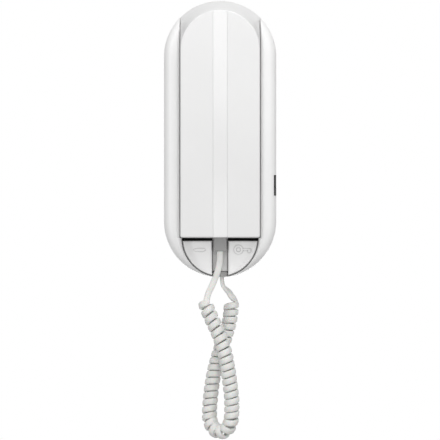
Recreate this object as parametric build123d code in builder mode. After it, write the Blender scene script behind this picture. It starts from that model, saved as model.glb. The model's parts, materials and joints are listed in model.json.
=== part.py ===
"""Wall-mounted audio intercom: a base with two keys, a hook switch and a volume
slider, a lift-off handset, and the curly cord that joins them.

X runs across, Z up and the wall is the plane Y = 0. Depth means the distance
forward from the wall, towards -Y, where the user stands. The origin is at the
middle of the housing, on the wall. All sizes are in millimetres.
"""

import math
import os

from build123d import *

os.makedirs("parts", exist_ok=True)

# Housing
housing_width = 90.0
housing_height = 222.0
wing_depth = 38.0
shoulder_radius = 9.0
wing_edge_radius = 2.8
wall = 2.2
shadow_gap = 0.8

# Clearances
fit = 0.1
gap = 0.3
overrun = 6.0

# Handset
handset_width = 63.6
handset_bottom = -78.9
handset_crown_centre = 70.8
handset_front = 56.0
handset_edge_radius = 1.1
handset_corner_radius = 1.6
seam_depth = 42.0
seam_gap = 0.2

# Cradle, the bay between the wings in which the handset lies
cradle_depth = 22.0
bay_clearance = 0.5

# Grip hollow behind the handset
grip_top = 42.0
grip_bottom = -38.0
grip_depth = 36.0
grip_slope = 7.0
grip_corner_radius = 3.0

# Stripe down the middle of the handset
stripe_width = 11.2
stripe_thickness = 0.9
stripe_sink = 0.15

# Ear and mouth ends of the handset
ear_height = 72.0
ear_recess_radius = 19.0
ear_recess_depth = 4.0
ear_boss_radius = 15.0
ear_boss_height = 3.0
ear_hole_radius = 1.1
ear_hole_rings = 3
ear_hole_pitch = 4.2
ear_holes_per_ring = 6
mouth_height = -56.8
mouth_recess_radius = 9.5
mouth_recess_depth = 3.0
mouth_boss_radius = 7.2
mouth_boss_height = 2.0
boss_draft_angle = 10.0
mouth_hole_radius = 0.9
mouth_hole_pitch = 3.4
mouth_holes_per_ring = 6

# Receiver capsule and what seals it
seal_outer_radius = 18.4
seal_inner_radius = 15.6
seal_thickness = 1.5
cloth_thickness = 0.4
receiver_radius = 18.0
receiver_rim = 5.0
receiver_cone_radius = 12.0
receiver_magnet_radius = 8.0
receiver_length = 12.0
clamp_tube_radius = 8.0
clamp_tube_wall = 1.8

# Microphone
boot_radius = 7.4
boot_length = 7.0
boot_floor = 1.2
boot_port_radius = 1.6
microphone_radius = 4.9
microphone_length = 5.4
boot_collar_wall = 1.5
boot_collar_height = 2.6

# Ballast plate and the handset's screws
ballast_width = 18.0
ballast_length = 44.0
ballast_thickness = 7.0
screw_height = 31.0
screw_radius = 1.4
screw_head_radius = 2.8
screw_head_height = 1.2
screw_length = 12.0
screw_boss_radius = 3.6
screw_slot_width = 0.8
screw_slot_depth = 0.8

# Tongue under the handset, its strain relief and the connector above it
tongue_width = 10.4
tongue_back = 24.0
tongue_thickness = 9.0
tongue_bottom = -89.4
lug_reach = 1.4
lug_height = 1.2
lug_length = 5.0
relief_width = 7.7
relief_thickness = 6.6
relief_length = 12.6
relief_proud = 0.2
connector_width = 7.4
connector_thickness = 7.0
connector_length = 6.4
connector_pin_count = 4
connector_pin_side = 0.6
connector_pin_pitch = 2.0
connector_pin_length = 2.4

# Keys
key_radius = 30.4
key_centre_height = -79.7
key_gap = 0.5
key_top = -81.7
key_inner_edge = 6.5
key_front = 31.0
key_back = 21.0
key_wall = 1.8
key_edge_radius = 0.9
key_stem_x = 17.0
key_stem_height = -93.5
key_stem_radius = 2.4
key_rib_thickness = 1.2
symbol_height = 0.7
symbol_edge = 0.25

# Symbols raised on the keys
lens_x = -16.5
lens_height = -88.9
lens_length = 9.6
lens_width = 2.4
ring_x = 14.7
ring_height = -88.6
ring_radius = 3.6
ring_bore = 1.9
shaft_end = 24.6
shaft_width = 1.2
bit_length = 2.2
bit_drop = 2.4

# Floor under the keys, the mat on it and the channel between the keys
key_floor = 18.0
mat_thickness = 1.2
channel_half_width = 6.2
channel_front = 20.0
channel_plate_bottom = -105.8
channel_plate_edge = 0.3
notch_top = -106.1
notch_depth = 2.3

# Wall plate
plate_thickness = 2.5
plate_rib_height = 1.5
wall_box_height = 82.0
wall_box_spacing = 60.0
lower_slot_height = -84.0
wall_slot_width = 4.5
wall_slot_length = 8.0
cable_hole_radius = 12.0
cover_screw_top = 97.0
cover_screw_bottom = -36.0
cover_boss_radius = 4.2
cover_screw_radius = 1.7
cover_screw_head_radius = 3.2
cover_screw_head_height = 1.6
cover_screw_length = 11.0

# Circuit board
board_depth = 8.5
board_thickness = 1.6
board_half_width = 34.0
board_top = 62.0
board_shoulder = -66.0
board_neck_half_width = 22.0
board_neck_top = -84.0
board_bottom = -98.5
board_notch_half_width = 7.5
board_notch_top = -88.0
post_x = 29.0
post_top = 55.0
post_bottom = -59.0
post_radius = 3.4
board_screw_radius = 1.3
board_screw_head_radius = 2.6
board_screw_head_height = 1.6

# Key switches on the board
switch_side = 7.4
switch_height = 3.5
switch_plunger_radius = 1.7
switch_plunger_back = 11.8
switch_plunger_front = 15.4
switch_leg_drop = 1.2
switch_leg_radius = 0.4

# Hook switch
hook_x = 18.0
hook_height = -58.0
hook_switch_width = 8.0
hook_switch_length = 12.0
hook_switch_height = 4.2
hook_rod_radius = 2.0
hook_collar_radius = 3.2
hook_collar_back = 14.6
hook_collar_thickness = 0.8
hook_rod_back = 11.4

# Ringer
ringer_height = 20.0
ringer_radius = 20.0
ringer_rim = 2.2
ringer_cone_radius = 14.0
ringer_magnet_radius = 9.0
ringer_length = 8.4
gasket_thickness = 1.0
gasket_wall = 2.4
sound_slot_length = 20.0
sound_slot_width = 1.8
sound_slot_pitch = 4.6
sound_slot_count = 5

# Terminals and the other parts on the board
terminal_height = 50.0
terminal_length = 40.0
terminal_depth = 9.0
terminal_rise = 8.6
terminal_count = 8
terminal_pitch = 4.8
terminal_screw_radius = 1.5
terminal_screw_length = 5.0
terminal_wire_radius = 1.3
setting_x = 22.0
setting_height = -20.0
setting_rows = 4
setting_pitch = 2.54
setting_pin_side = 0.64
setting_pin_length = 6.0
setting_base_height = 2.5
chip_x = -18.0
chip_height = -28.0
chip_width = 10.0
chip_length = 18.0
chip_rise = 2.6
chip_leg_count = 7
chip_leg_pitch = 2.4
chip_leg_side = 0.6
chip_leg_reach = 0.9
transformer_x = -17.0
transformer_height = -58.0
transformer_width = 15.0
transformer_length = 17.0
transformer_rise = 8.8
transformer_core = 5.0
capacitor_x = 26.0
capacitor_radius = 3.6
capacitor_rise = 9.0
capacitor_heights = (34.0, 4.0, -36.0)

# Volume slider in the right wing
volume_height = -37.1
volume_slot_length = 16.4
volume_slot_back = 26.0
volume_slot_front = 34.6
volume_switch_length = 30.0
volume_switch_thickness = 4.6
volume_switch_back = 25.0
volume_switch_front = 33.0
volume_knob_length = 5.6
volume_knob_proud = 0.5
volume_stem_width = 2.4
volume_groove_depth = 3.0
volume_end_clearance = 0.4

# Base end of the cord
base_relief_half_width = 5.9
base_relief_body_front = 15.5
base_relief_flange_front = 19.4
base_relief_top = -94.5
base_relief_bottom = -110.3
base_connector_top = -82.5
base_connector_half_width = 5.5
base_cord_x = 1.5
base_cord_depth = 11.0

# Wires inside the handset, as across, depth and height
wire_radius = 0.6
receiver_wire_x = 3.0
receiver_wire_side = 6.5
receiver_wire_depth = 47.0
receiver_wire_end = 5.0
microphone_wire_x = 1.2
microphone_wire_depth = 40.0

# Curly cord
cord_diameter = 4.0
arc_share = 0.45
coil_diameter = 12.2
coil_turns = 38.3
coil_steps_per_turn = 4
coil_start_angle = 150.0
cord_gap_wanted = 0.4
cord_samples_per_turn = 24
route_samples = 60

# Pitch of the coil along its length, relative to the lower strands: stretched
# at the handset's end, and opened where the cord hangs round its tight bend
upper_pitch_share = 1.18
upper_length_share = 0.22
bend_pitch_share = 1.78
bend_centre_share = 0.508
bend_half_width_share = 0.085
bend_ramp_share = 0.03

# Axis of the coil: across, depth and height of the control points of a smooth
# curve, from the handset's end, round the hanging bend, to the base's end
coil_route = [
    (-12.9, 29.0, -133.5),
    (-6.6, 30.5, -144.5),
    (-1.0, 32.0, -156.0),
    (3.2, 33.0, -168.5),
    (5.8, 32.6, -181.0),
    (7.7, 31.8, -194.0),
    (9.4, 30.6, -207.5),
    (9.4, 29.4, -218.5),
    (8.8, 28.6, -227.6),
    (4.2, 26.2, -234.9),
    (-3.4, 22.0, -234.9),
    (-8.2, 19.4, -227.6),
    (-8.7, 18.6, -218.5),
    (-7.7, 18.0, -207.5),
    (-6.3, 17.4, -195.0),
    (-3.6, 16.8, -182.0),
    (0.2, 16.4, -169.5),
    (4.6, 15.8, -157.5),
    (7.9, 14.8, -145.5),
    (9.2, 13.6, -133.0),
]

# Free stretches from each strain relief towards the coil
handset_tail = [(0.0, 28.5, -98.4), (-2.2, 28.8, -107.2), (-5.6, 29.2, -115.6), (-9.6, 29.7, -123.6)]
base_tail = [(1.5, 11.0, -118.6), (4.6, 11.0, -122.8), (8.4, 9.0, -124.6)]


# Derived places
housing_radius = housing_width / 2
end_centre = housing_height / 2 - housing_radius
handset_half = handset_width / 2
handset_back = cradle_depth + gap
bay_half = handset_half + bay_clearance
bay_bottom = handset_bottom - bay_clearance
key_bay_radius = key_radius + key_gap
board_front = board_depth + board_thickness
tongue_middle = tongue_back + tongue_thickness / 2
ear_floor = handset_back + ear_recess_depth
ear_seat = ear_floor + wall
mouth_floor = handset_back + mouth_recess_depth
mouth_seat = mouth_floor + wall
receiver_back = ear_seat + seal_thickness
receiver_end = receiver_back + receiver_length
spine_inside = grip_depth + wall
front_inside = handset_front - wall - stripe_thickness
relief_bottom = tongue_bottom - relief_proud
cord_radius = cord_diameter / 2
coil_radius = (coil_diameter - cord_diameter) / 2
post_hole_depth = board_depth - plate_thickness + plate_thickness / 2
mirrored = (-1, 1)
post_places = [(side * post_x, height) for side in mirrored for height in (post_top, post_bottom)]
cover_screw_places = [(0, cover_screw_top), (0, cover_screw_bottom)]
key_stem_places = [(side * key_stem_x, key_stem_height) for side in mirrored]
handset_screw_places = [(0, side * screw_height) for side in mirrored]


def at_depth(depth):
    """Plane parallel to the wall, facing the user, at a depth from the wall."""
    return Plane.XZ.offset(depth)


def stadium(radius, mode=Mode.ADD):
    """Upright outline with round ends, centred on the housing's ends."""
    return SlotCenterToCenter(2 * end_centre, 2 * radius, rotation=90, mode=mode)


def handset_outline(half_width, bottom, crown_radius, crown_centre, corner_radius):
    """Face of the handset: a foot with rounded corners, two sides and a round top."""
    corner = crown_centre + math.sqrt(max(crown_radius**2 - half_width**2, 0))
    with BuildSketch() as outline:
        with BuildLine():
            foot = Line((-half_width, bottom), (half_width, bottom))
            side = Line(foot @ 1, (half_width, corner))
            crown = ThreePointArc(side @ 1, (0, crown_centre + crown_radius), (-half_width, corner))
            Line(crown @ 1, foot @ 0)
        make_face()
        fillet(outline.vertices().group_by(Axis.Y)[0], corner_radius)
    return outline.sketch


def handset_form(inset, back, front, corner_radius):
    """Handset, or its hollow when inset, from its back outline to its front one."""
    half_width = handset_half - inset
    bottom = handset_bottom + inset
    with BuildPart() as form:
        with BuildSketch(at_depth(back)):
            add(handset_outline(half_width, bottom, housing_radius - inset, end_centre, corner_radius))
        with BuildSketch(at_depth(front)):
            add(handset_outline(half_width, bottom, half_width, handset_crown_centre, corner_radius))
        loft(ruled=True)
    return form.part


def grip_outline(spread):
    """Side view of the finger hollow behind the handset, widened by spread."""
    with BuildSketch() as outline:
        with BuildLine():
            Polyline(
                (-(handset_back - overrun), grip_top + grip_slope + spread),
                (-handset_back, grip_top + grip_slope + spread),
                (-(grip_depth + spread), grip_top + spread),
                (-(grip_depth + spread), grip_bottom - spread),
                (-handset_back, grip_bottom - grip_slope - spread),
                (-(handset_back - overrun), grip_bottom - grip_slope - spread),
                close=True,
            )
        make_face()
        fillet(outline.vertices().group_by(Axis.X)[0], grip_corner_radius + spread)
    return outline.sketch


def key_bay_outline(radius, top):
    """Lower part of a disc: the recess that holds both keys."""
    with Locations((0, key_centre_height)):
        Circle(radius)
    with Locations((0, top - radius)):
        Rectangle(2 * radius, 2 * radius, mode=Mode.INTERSECT)


def edge_waste(side, edge, depth, radius):
    """Cross-section of what a rounded edge takes off a square corner."""
    with Locations((side * (edge + (radius - fit) / 2), -depth + (radius - fit) / 2)):
        Rectangle(radius + fit, radius + fit)
    with Locations((side * (edge + radius), radius - depth)):
        Circle(radius, mode=Mode.SUBTRACT)


def ring_of_holes(radius, pitch, rings, per_ring):
    """Round grille of holes, one in the middle and the rest in rings."""
    Circle(radius)
    for ring in range(1, rings + 1):
        with PolarLocations(ring * pitch, ring * per_ring):
            Circle(radius)


# Front cover: the solid block of the housing, rounded at its shoulder
with BuildPart() as cover_block:
    with BuildSketch(at_depth(shadow_gap)):
        stadium(housing_radius)
    extrude(amount=wing_depth - shadow_gap)
    fillet(cover_block.faces().sort_by(Axis.Y)[0].edges(), shoulder_radius)

# Hollow inside the cover, which keeps clear of both bays
with BuildPart() as cover_hollow:
    with BuildSketch(at_depth(0)):
        stadium(housing_radius - wall)
    extrude(amount=wing_depth - wall)
    fillet(cover_hollow.faces().sort_by(Axis.Y)[0].edges(), shoulder_radius - wall)
    with BuildSketch(at_depth(cradle_depth - wall)):
        with Locations((0, (bay_bottom - wall + housing_height) / 2)):
            Rectangle(2 * (bay_half + wall), housing_height - bay_bottom + wall)
    extrude(amount=wing_depth, mode=Mode.SUBTRACT)
    with BuildSketch(at_depth(key_floor - wall)):
        key_bay_outline(key_bay_radius + wall, bay_bottom + wall)
    extrude(amount=wing_depth, mode=Mode.SUBTRACT)

with BuildPart() as front_cover:
    add(cover_block.part)
    with BuildSketch(at_depth(cradle_depth)):
        with Locations((0, (bay_bottom + housing_height) / 2)):
            Rectangle(2 * bay_half, housing_height - bay_bottom)
    extrude(amount=wing_depth, mode=Mode.SUBTRACT)
    with BuildSketch(Plane.XY.offset(bay_bottom)):
        for side in mirrored:
            edge_waste(side, bay_half, wing_depth, wing_edge_radius)
    extrude(amount=housing_height, mode=Mode.SUBTRACT)
    with BuildSketch(Plane.XY.offset(key_centre_height)):
        edge_waste(1, key_bay_radius, wing_depth, wing_edge_radius)
    revolve(axis=Axis((0, 0, key_centre_height), (0, 1, 0)), revolution_arc=180, mode=Mode.SUBTRACT)
    with BuildSketch(at_depth(key_floor)):
        key_bay_outline(key_bay_radius, bay_bottom + fit)
    extrude(amount=wing_depth, mode=Mode.SUBTRACT)
    add(cover_hollow.part, mode=Mode.SUBTRACT)

    # Bosses that locate the ear and mouth ends of the handset
    with BuildSketch(at_depth(cradle_depth)):
        with Locations((0, ear_height)):
            Circle(ear_boss_radius)
    extrude(amount=ear_boss_height, taper=boss_draft_angle)
    with BuildSketch(at_depth(cradle_depth)):
        with Locations((0, mouth_height)):
            Circle(mouth_boss_radius)
    extrude(amount=mouth_boss_height, taper=boss_draft_angle)

    # Channel between the keys for the cord, and the notch under it
    with BuildSketch(at_depth(channel_front - channel_plate_edge)):
        with Locations((0, key_top - housing_radius)):
            Rectangle(2 * channel_half_width, 2 * housing_radius)
    extrude(amount=wing_depth, mode=Mode.SUBTRACT)
    with BuildSketch(at_depth(notch_depth)):
        with Locations((0, notch_top - shoulder_radius)):
            Rectangle(2 * channel_half_width, 2 * shoulder_radius)
    extrude(amount=wing_depth, mode=Mode.SUBTRACT)

    # Holes for the key stems, the hook rod and the ringer's sound
    with BuildSketch(at_depth(key_floor + fit)):
        with Locations(*key_stem_places):
            Circle(key_stem_radius + 2 * gap)
    extrude(amount=-2 * wall, mode=Mode.SUBTRACT)
    with BuildSketch(at_depth(cradle_depth + fit)):
        with Locations((hook_x, hook_height)):
            Circle(hook_rod_radius + gap)
        with Locations((0, ringer_height)):
            with GridLocations(0, sound_slot_pitch, 1, sound_slot_count):
                SlotOverall(sound_slot_length, sound_slot_width)
    extrude(amount=-2 * wall, mode=Mode.SUBTRACT)

    # Screw seats in the cradle floor
    with BuildSketch(at_depth(cradle_depth + ear_boss_height + fit)):
        with Locations(*cover_screw_places):
            Circle(cover_screw_radius + gap)
    extrude(amount=-2 * wall - ear_boss_height, mode=Mode.SUBTRACT)
    with BuildSketch(at_depth(cradle_depth - cover_screw_head_height)):
        with Locations(*cover_screw_places):
            Circle(cover_screw_head_radius + gap)
    extrude(amount=2 * wall, mode=Mode.SUBTRACT)

    # Slot for the volume slider through the shoulder of the right wing
    with BuildSketch(Plane.YZ.offset(bay_half + 2 * wall)):
        with Locations((-(volume_slot_back + volume_slot_front) / 2, volume_height)):
            RectangleRounded(volume_slot_front - volume_slot_back, volume_slot_length, wall / 2)
    extrude(amount=housing_radius - bay_half, mode=Mode.SUBTRACT)
front_cover.part.label = "front_cover"
export_step(front_cover.part, "parts/front_cover.step")

# Wall plate with its screw slots, cable hole, board posts and cover bosses
with BuildPart() as wall_plate:
    with BuildSketch(at_depth(0)):
        stadium(housing_radius - wall - gap)
        with Locations((0, notch_top - shoulder_radius)):
            Rectangle(2 * channel_half_width, shoulder_radius, mode=Mode.SUBTRACT)
    extrude(amount=plate_thickness)
    with BuildSketch(at_depth(plate_thickness)):
        stadium(housing_radius - wall - gap)
        stadium(housing_radius - 2 * wall - gap, mode=Mode.SUBTRACT)
        with Locations((0, notch_top + wall - shoulder_radius)):
            Rectangle(2 * channel_half_width, 2 * shoulder_radius, mode=Mode.SUBTRACT)
    extrude(amount=plate_rib_height)
    with BuildSketch(at_depth(plate_thickness)):
        with Locations(*post_places):
            Circle(post_radius)
    extrude(amount=board_depth - plate_thickness)
    with BuildSketch(at_depth(plate_thickness)):
        with Locations(*cover_screw_places):
            Circle(cover_boss_radius)
    extrude(amount=cradle_depth - wall - fit - plate_thickness)
    with BuildSketch(at_depth(board_depth)):
        with Locations(*post_places):
            Circle(board_screw_radius)
    extrude(amount=-post_hole_depth, mode=Mode.SUBTRACT)
    with BuildSketch(at_depth(cradle_depth - wall)):
        with Locations(*cover_screw_places):
            Circle(cover_screw_radius)
    extrude(amount=-cover_screw_length, mode=Mode.SUBTRACT)
    with BuildSketch(at_depth(0)):
        with Locations((0, wall_box_height)):
            Circle(cable_hole_radius)
            with GridLocations(wall_box_spacing, 0, 2, 1):
                SlotOverall(wall_slot_length, wall_slot_width)
        with Locations((0, lower_slot_height)):
            with GridLocations(wall_box_spacing, 0, 2, 1):
                SlotOverall(wall_slot_length, wall_slot_width)
    extrude(amount=plate_thickness, mode=Mode.SUBTRACT)
wall_plate.part.label = "wall_plate"
export_step(wall_plate.part, "parts/wall_plate.step")

# Screws that hold the cover to the wall plate, reached once the handset is off
with BuildPart() as cover_screws:
    with BuildSketch(at_depth(cradle_depth - cover_screw_head_height)):
        with Locations(*cover_screw_places):
            Circle(cover_screw_head_radius)
    extrude(amount=cover_screw_head_height - fit)
    with BuildSketch(at_depth(cradle_depth - cover_screw_head_height)):
        with Locations(*cover_screw_places):
            Circle(cover_screw_radius - fit / 2)
    extrude(amount=-(cover_screw_length - 2 * wall))
    with BuildSketch(at_depth(cradle_depth - fit)):
        with Locations(*cover_screw_places):
            Rectangle(3 * cover_screw_head_radius, screw_slot_width)
    extrude(amount=-screw_slot_depth, mode=Mode.SUBTRACT)
cover_screws.part.label = "cover_screws"
export_step(cover_screws.part, "parts/cover_screws.step")

# Plate that lines the channel between the keys
with BuildPart() as channel_plate:
    with BuildSketch(at_depth(key_floor)):
        with Locations((0, (key_top + channel_plate_bottom) / 2)):
            Rectangle(2 * (channel_half_width - fit), key_top - channel_plate_bottom)
    extrude(amount=channel_front - key_floor)
    chamfer(channel_plate.faces().sort_by(Axis.Y)[0].edges(), channel_plate_edge)
channel_plate.part.label = "channel_plate"
export_step(channel_plate.part, "parts/channel_plate.step")

# Rubber mat under both keys, open at the channel and round the key stems
with BuildPart() as key_mat:
    with BuildSketch(at_depth(key_floor)):
        key_bay_outline(key_bay_radius - key_gap, bay_bottom - fit)
        with Locations((0, key_centre_height - key_radius / 2)):
            Rectangle(2 * channel_half_width + fit, 2 * key_radius, mode=Mode.SUBTRACT)
        with Locations(*key_stem_places):
            Circle(key_stem_radius + 2 * gap, mode=Mode.SUBTRACT)
    extrude(amount=mat_thickness)
key_mat.part.label = "key_mat"
export_step(key_mat.part, "parts/key_mat.step")


def key_face(side, inset):
    """Quarter-disc face of one key, drawn smaller all round by an inset."""
    with Locations((0, key_centre_height)):
        Circle(key_radius - inset)
    width = key_radius - key_inner_edge - inset
    with Locations((side * (key_inner_edge + inset + width / 2), key_top - inset - key_radius / 2)):
        Rectangle(width, key_radius, mode=Mode.INTERSECT)


def key_cap(side):
    """One key: a hollow cap with a bevelled rim, a stem and a stiffening rib."""
    with BuildPart() as cap:
        with BuildSketch(at_depth(key_back)):
            key_face(side, 0)
        extrude(amount=key_front - key_back)
        chamfer(cap.faces().sort_by(Axis.Y)[0].edges(), key_edge_radius)
        with BuildSketch(at_depth(key_back)):
            key_face(side, key_wall)
        extrude(amount=key_front - key_back - key_wall, mode=Mode.SUBTRACT)
        with BuildSketch(at_depth(switch_plunger_front + gap)):
            with Locations((side * key_stem_x, key_stem_height)):
                Circle(key_stem_radius)
        extrude(amount=key_front - key_wall - switch_plunger_front)
        with BuildSketch(at_depth(key_back + mat_thickness)):
            key_face(side, key_wall)
            with Locations((side * key_stem_x, key_stem_height)):
                Rectangle(key_rib_thickness, 2 * key_radius, mode=Mode.INTERSECT)
        extrude(amount=key_front - key_wall - key_back - mat_thickness)
    return cap.part


talk_cap = key_cap(-1)
door_cap = key_cap(1)

# Left key, with a raised lens-shaped mark
with BuildPart() as talk_key:
    add(talk_cap)
    with BuildSketch(at_depth(key_front)):
        with Locations((lens_x, lens_height)):
            Ellipse(lens_length / 2, lens_width / 2)
    extrude(amount=symbol_height)
    chamfer(talk_key.faces().sort_by(Axis.Y)[0].edges(), symbol_edge)
talk_key.part.label = "talk_key"
export_step(talk_key.part, "parts/talk_key.step")

# Right key, with a raised door-key mark
with BuildPart() as door_key:
    add(door_cap)
    with BuildSketch(at_depth(key_front)):
        with Locations((ring_x, ring_height)):
            Circle(ring_radius)
        with Locations(((ring_x + shaft_end) / 2, ring_height)):
            Rectangle(shaft_end - ring_x, shaft_width)
        with Locations((shaft_end - bit_length / 2, ring_height - bit_drop / 2)):
            Rectangle(bit_length, bit_drop)
        with Locations((ring_x, ring_height)):
            Circle(ring_bore, mode=Mode.SUBTRACT)
    extrude(amount=symbol_height)
    chamfer(door_key.faces().sort_by(Axis.Y)[0].edges(), symbol_edge)
door_key.part.label = "door_key"
export_step(door_key.part, "parts/door_key.step")


def key_switch_body(place):
    """Body of one push switch on the board, bored for its plunger, with four legs."""
    with BuildPart() as body:
        with BuildSketch(at_depth(board_front)):
            with Locations(place):
                RectangleRounded(switch_side, switch_side, switch_leg_radius)
                Circle(switch_plunger_radius + fit / 2, mode=Mode.SUBTRACT)
        extrude(amount=switch_height)
        with BuildSketch(at_depth(board_front)):
            with Locations(place):
                with GridLocations(switch_side - switch_leg_drop, switch_side - switch_leg_drop, 2, 2):
                    Circle(switch_leg_radius)
        extrude(amount=-switch_leg_drop)
    return body.part


def key_switch_plunger(place):
    """Plunger of one push switch, with a rounded tip."""
    with BuildPart() as rod:
        with BuildSketch(at_depth(switch_plunger_back)):
            with Locations(place):
                Circle(switch_plunger_radius)
        extrude(amount=switch_plunger_front - switch_plunger_back)
        fillet(rod.faces().sort_by(Axis.Y)[0].edges(), switch_leg_radius)
    return rod.part


# The same push switch stands under each key
for key_name, place in zip(("talk", "door"), key_stem_places):
    key_switch = key_switch_body(place)
    key_switch.label = f"{key_name}_switch"
    export_step(key_switch, f"parts/{key_name}_switch.step")
    key_plunger = key_switch_plunger(place)
    key_plunger.label = f"{key_name}_plunger"
    export_step(key_plunger, f"parts/{key_name}_plunger.step")

# Circuit board, narrowed between the keys and notched for the cord's connector
with BuildPart() as circuit_board:
    with BuildSketch(at_depth(board_depth)):
        with BuildLine():
            Polyline(
                (0, board_top),
                (board_half_width, board_top),
                (board_half_width, board_shoulder),
                (board_neck_half_width, board_neck_top),
                (board_neck_half_width, board_bottom),
                (board_notch_half_width, board_bottom),
                (board_notch_half_width, board_notch_top),
                (0, board_notch_top),
            )
            mirror(about=Plane.YZ)
        make_face()
        with Locations(*post_places):
            Circle(board_screw_radius + gap, mode=Mode.SUBTRACT)
        with Locations((0, cover_screw_bottom)):
            Circle(cover_boss_radius + gap, mode=Mode.SUBTRACT)
        for place in key_stem_places:
            with Locations(place):
                with GridLocations(switch_side - switch_leg_drop, switch_side - switch_leg_drop, 2, 2):
                    Circle(switch_leg_radius, mode=Mode.SUBTRACT)
    extrude(amount=board_thickness)
circuit_board.part.label = "circuit_board"
export_step(circuit_board.part, "parts/circuit_board.step")

with BuildPart() as board_screws:
    with BuildSketch(at_depth(board_front)):
        with Locations(*post_places):
            Circle(board_screw_head_radius)
    extrude(amount=board_screw_head_height)
    with BuildSketch(at_depth(board_front)):
        with Locations(*post_places):
            Circle(board_screw_radius - fit / 2)
    extrude(amount=-(board_thickness + post_hole_depth - gap))
    with BuildSketch(at_depth(board_front + board_screw_head_height)):
        with Locations(*post_places):
            Rectangle(3 * board_screw_head_radius, screw_slot_width)
    extrude(amount=-screw_slot_depth, mode=Mode.SUBTRACT)
board_screws.part.label = "board_screws"
export_step(board_screws.part, "parts/board_screws.step")

# Hook switch on the board and the spring rod that the handset holds down
with BuildPart() as hook_switch:
    with BuildSketch(at_depth(board_front)):
        with Locations((hook_x, hook_height)):
            Rectangle(hook_switch_width, hook_switch_length)
            Circle(hook_rod_radius + fit / 2, mode=Mode.SUBTRACT)
    extrude(amount=hook_switch_height)
hook_switch.part.label = "hook_switch"
export_step(hook_switch.part, "parts/hook_switch.step")

with BuildPart() as hook_rod:
    with BuildSketch(at_depth(hook_rod_back)):
        with Locations((hook_x, hook_height)):
            Circle(hook_rod_radius)
    extrude(amount=cradle_depth - hook_rod_back)
    fillet(hook_rod.faces().sort_by(Axis.Y)[0].edges(), hook_rod_radius / 2)
    with BuildSketch(at_depth(hook_collar_back)):
        with Locations((hook_x, hook_height)):
            Circle(hook_collar_radius)
    extrude(amount=hook_collar_thickness)
hook_rod.part.label = "hook_rod"
export_step(hook_rod.part, "parts/hook_rod.step")

# Ringer behind the sound slots, and the foam ring in front of it
ringer_front = cradle_depth - wall - gasket_thickness
with BuildPart() as ringer:
    with BuildSketch(Plane.XY.offset(ringer_height)):
        with BuildLine():
            Polyline(
                (0, -ringer_front),
                (ringer_radius, -ringer_front),
                (ringer_radius, -ringer_front + ringer_rim),
                (ringer_cone_radius, -ringer_front + 2 * ringer_rim),
                (ringer_magnet_radius, -ringer_front + 2 * ringer_rim),
                (ringer_magnet_radius, -ringer_front + ringer_length),
                (0, -ringer_front + ringer_length),
                close=True,
            )
        make_face()
    revolve(axis=Axis((0, 0, ringer_height), (0, 1, 0)))
ringer.part.label = "ringer"
export_step(ringer.part, "parts/ringer.step")

with BuildPart() as ringer_gasket:
    with BuildSketch(at_depth(ringer_front)):
        with Locations((0, ringer_height)):
            Circle(ringer_radius)
            Circle(ringer_radius - gasket_wall, mode=Mode.SUBTRACT)
    extrude(amount=gasket_thickness)
ringer_gasket.part.label = "ringer_gasket"
export_step(ringer_gasket.part, "parts/ringer_gasket.step")

# Terminals for the line wires, with wire mouths along the top and their screws
with BuildPart() as terminal_block:
    with BuildSketch(at_depth(board_front)):
        with Locations((0, terminal_height)):
            Rectangle(terminal_length, terminal_depth)
    extrude(amount=terminal_rise)
    chamfer(terminal_block.edges().filter_by(Axis.X).group_by(Axis.Y)[0], terminal_rise / terminal_count)
    with BuildSketch(at_depth(board_front + terminal_rise)):
        with Locations((0, terminal_height)):
            with GridLocations(terminal_pitch, 0, terminal_count, 1):
                Circle(terminal_screw_radius + fit / 2)
    extrude(amount=-terminal_screw_length, mode=Mode.SUBTRACT)
    with BuildSketch(Plane.XY.offset(terminal_height + terminal_depth / 2)):
        with Locations((0, -(board_front + terminal_rise / 3))):
            with GridLocations(terminal_pitch, 0, terminal_count, 1):
                Rectangle(2 * terminal_wire_radius, 2 * terminal_wire_radius)
    extrude(amount=-terminal_depth / 2, mode=Mode.SUBTRACT)
terminal_block.part.label = "terminal_block"
export_step(terminal_block.part, "parts/terminal_block.step")

with BuildPart() as terminal_screws:
    with BuildSketch(at_depth(board_front + terminal_rise - fit)):
        with Locations((0, terminal_height)):
            with GridLocations(terminal_pitch, 0, terminal_count, 1):
                Circle(terminal_screw_radius)
    extrude(amount=-(terminal_screw_length - fit))
    with BuildSketch(at_depth(board_front + terminal_rise - fit)):
        with Locations((0, terminal_height)):
            with GridLocations(terminal_pitch, 0, terminal_count, 1):
                Rectangle(3 * terminal_screw_radius, screw_slot_width / 2)
    extrude(amount=-screw_slot_depth, mode=Mode.SUBTRACT)
terminal_screws.part.label = "terminal_screws"
export_step(terminal_screws.part, "parts/terminal_screws.step")

# Row of setting pins in their plastic base
with BuildPart() as setting_pins:
    with BuildSketch(at_depth(board_front)):
        with Locations((setting_x, setting_height)):
            Rectangle(2 * setting_pitch, setting_rows * setting_pitch)
    extrude(amount=setting_base_height)
    with BuildSketch(at_depth(board_front + setting_base_height)):
        with Locations((setting_x, setting_height)):
            with GridLocations(setting_pitch, setting_pitch, 2, setting_rows):
                Rectangle(setting_pin_side, setting_pin_side)
    extrude(amount=setting_pin_length)
setting_pins.part.label = "setting_pins"
export_step(setting_pins.part, "parts/setting_pins.step")

# Control chip with legs on both long sides
with BuildPart() as control_chip:
    with BuildSketch(at_depth(board_front + fit)):
        with Locations((chip_x, chip_height)):
            Rectangle(chip_width, chip_length)
    extrude(amount=chip_rise)
    with BuildSketch(at_depth(board_front)):
        with Locations((chip_x, chip_height)):
            with GridLocations(0, chip_leg_pitch, 1, chip_leg_count):
                Rectangle(chip_width + 2 * chip_leg_reach, chip_leg_side)
    extrude(amount=chip_leg_side)
control_chip.part.label = "control_chip"
export_step(control_chip.part, "parts/control_chip.step")

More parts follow.
